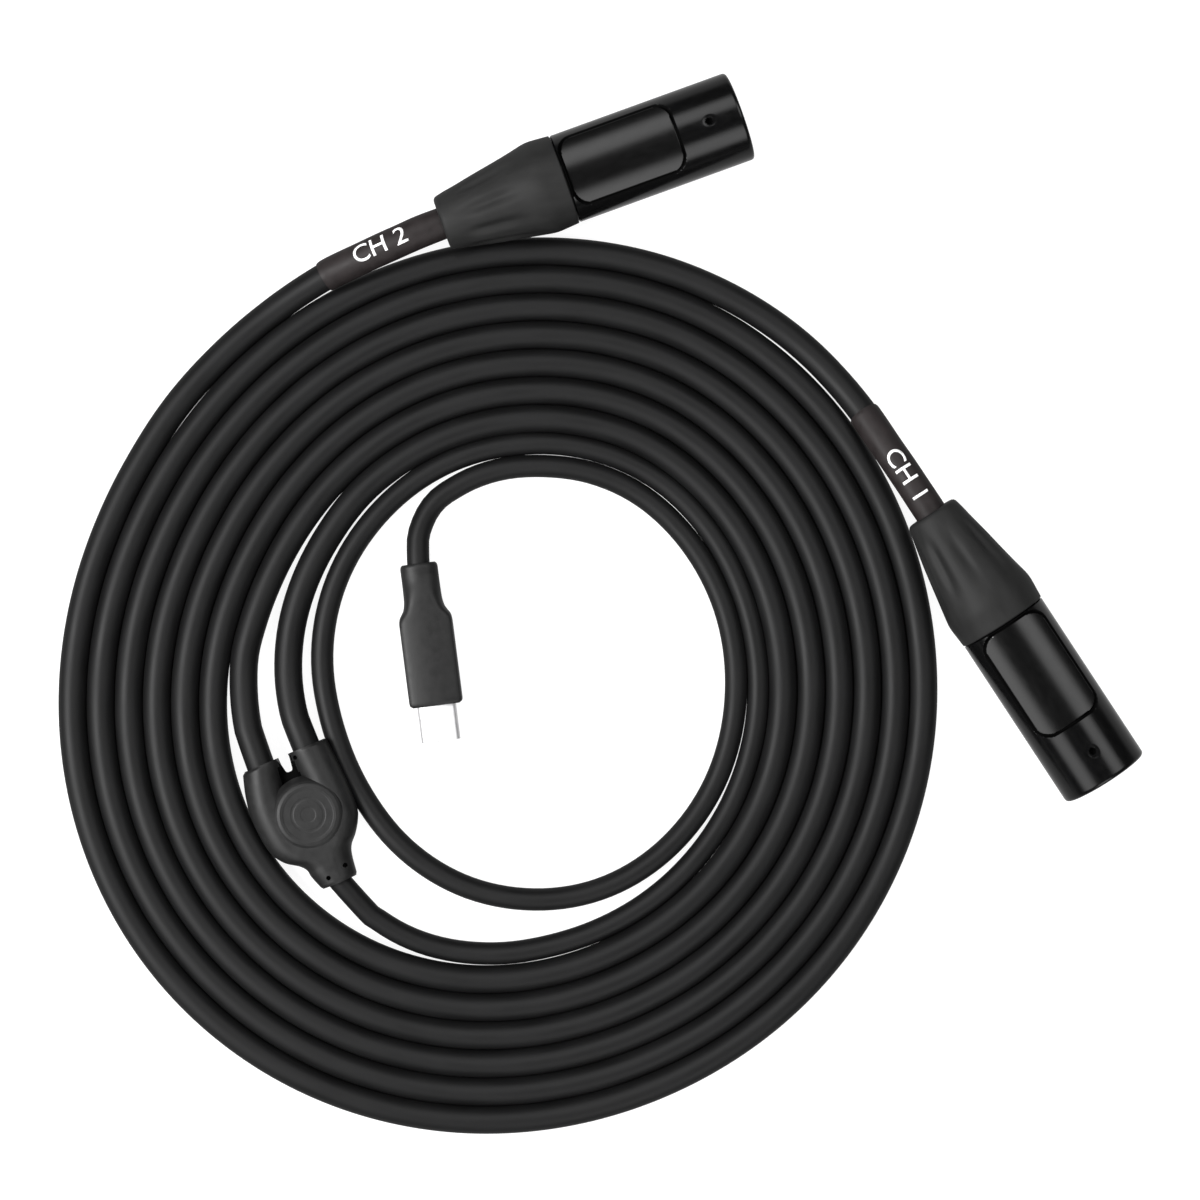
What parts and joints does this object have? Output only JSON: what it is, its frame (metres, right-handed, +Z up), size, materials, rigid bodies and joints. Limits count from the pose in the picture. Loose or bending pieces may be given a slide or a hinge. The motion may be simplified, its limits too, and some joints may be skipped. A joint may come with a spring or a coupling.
{
  "type": "audio splitter cable",
  "caption": "Coiled audio cable from a USB-C plug through a moulded Y splitter to male XLR connectors with screw-on boots, laid flat as one round coil.",
  "frame": {"origin": "bottom centre of the whole cable's box, on the surface that the cable lies on", "axes": "+Z up from the surface, +X towards the left-channel connector, +Y towards the right-channel one"},
  "size_m": [0.2284, 0.223, 0.0199],
  "materials": {
    "jacket": "black satin cable jacket",
    "rubber": "black moulded rubber",
    "sleeve": null,
    "shell": "satin black coated metal",
    "plastic": "black moulded plastic",
    "pin": "gold-plated contact",
    "wire": "core insulation",
    "usb_metal": "bright nickel plating",
    "board": "green circuit board",
    "chip": "moulded chip package"
  },
  "bodies": {
    "cable": {"lead_coil": "jacket", "usb_lead": "jacket", "splitter_body": "rubber", "splitter_core": "board", "usb_housing": "rubber", "usb_shell": "usb_metal", "usb_insulator": "plastic", "usb_board": "board", "usb_chip": "chip", "right_shell": "shell", "right_insert": "plastic", "right_pin_1": "pin", "right_pin_2": "pin", "right_pin_3": "pin", "right_wire_1": "wire", "right_wire_2": "wire", "right_wire_3": "wire", "right_sleeve": "sleeve", "right_lead_end": "jacket", "right_lead_root": "jacket", "left_shell": "shell", "left_insert": "plastic", "left_pin_1": "pin", "left_pin_2": "pin", "left_pin_3": "pin", "left_wire_1": "wire", "left_wire_2": "wire", "left_wire_3": "wire", "left_sleeve": "sleeve", "left_lead_end": "jacket", "left_lead_root": "jacket"},
    "right_carriage": {"right_chuck": "plastic"},
    "right_screw_boot": {"right_boot": "rubber", "right_collar": "plastic"},
    "left_carriage": {"left_chuck": "plastic"},
    "left_screw_boot": {"left_boot": "rubber", "left_collar": "plastic"}
  },
  "joints": [
    {"name": "right_boot_travel", "type": "slide", "parent": "cable", "child": "right_carriage", "axis": [-0.9403, -0.3404, 0], "range_m": [0, 0.0042]},
    {"name": "right_boot_turn", "type": "hinge", "parent": "right_carriage", "child": "right_screw_boot", "pos_m": [-0.0074, 0.0887, 0.01], "axis": [-0.9403, -0.3404, 0], "range_deg": [0, 1080]},
    {"name": "left_boot_travel", "type": "slide", "parent": "cable", "child": "left_carriage", "axis": [-0.549, 0.8358, 0], "range_m": [0, 0.0042]},
    {"name": "left_boot_turn", "type": "hinge", "parent": "left_carriage", "child": "left_screw_boot", "pos_m": [0.0843, -0.004, 0.01], "axis": [-0.549, 0.8358, 0], "range_deg": [0, 1080]}
  ],
  "couplings": [
    {"joint": "right_boot_turn", "follows": "right_boot_travel", "rad_per_m": 4488},
    {"joint": "left_boot_turn", "follows": "left_boot_travel", "rad_per_m": 4488}
  ]
}
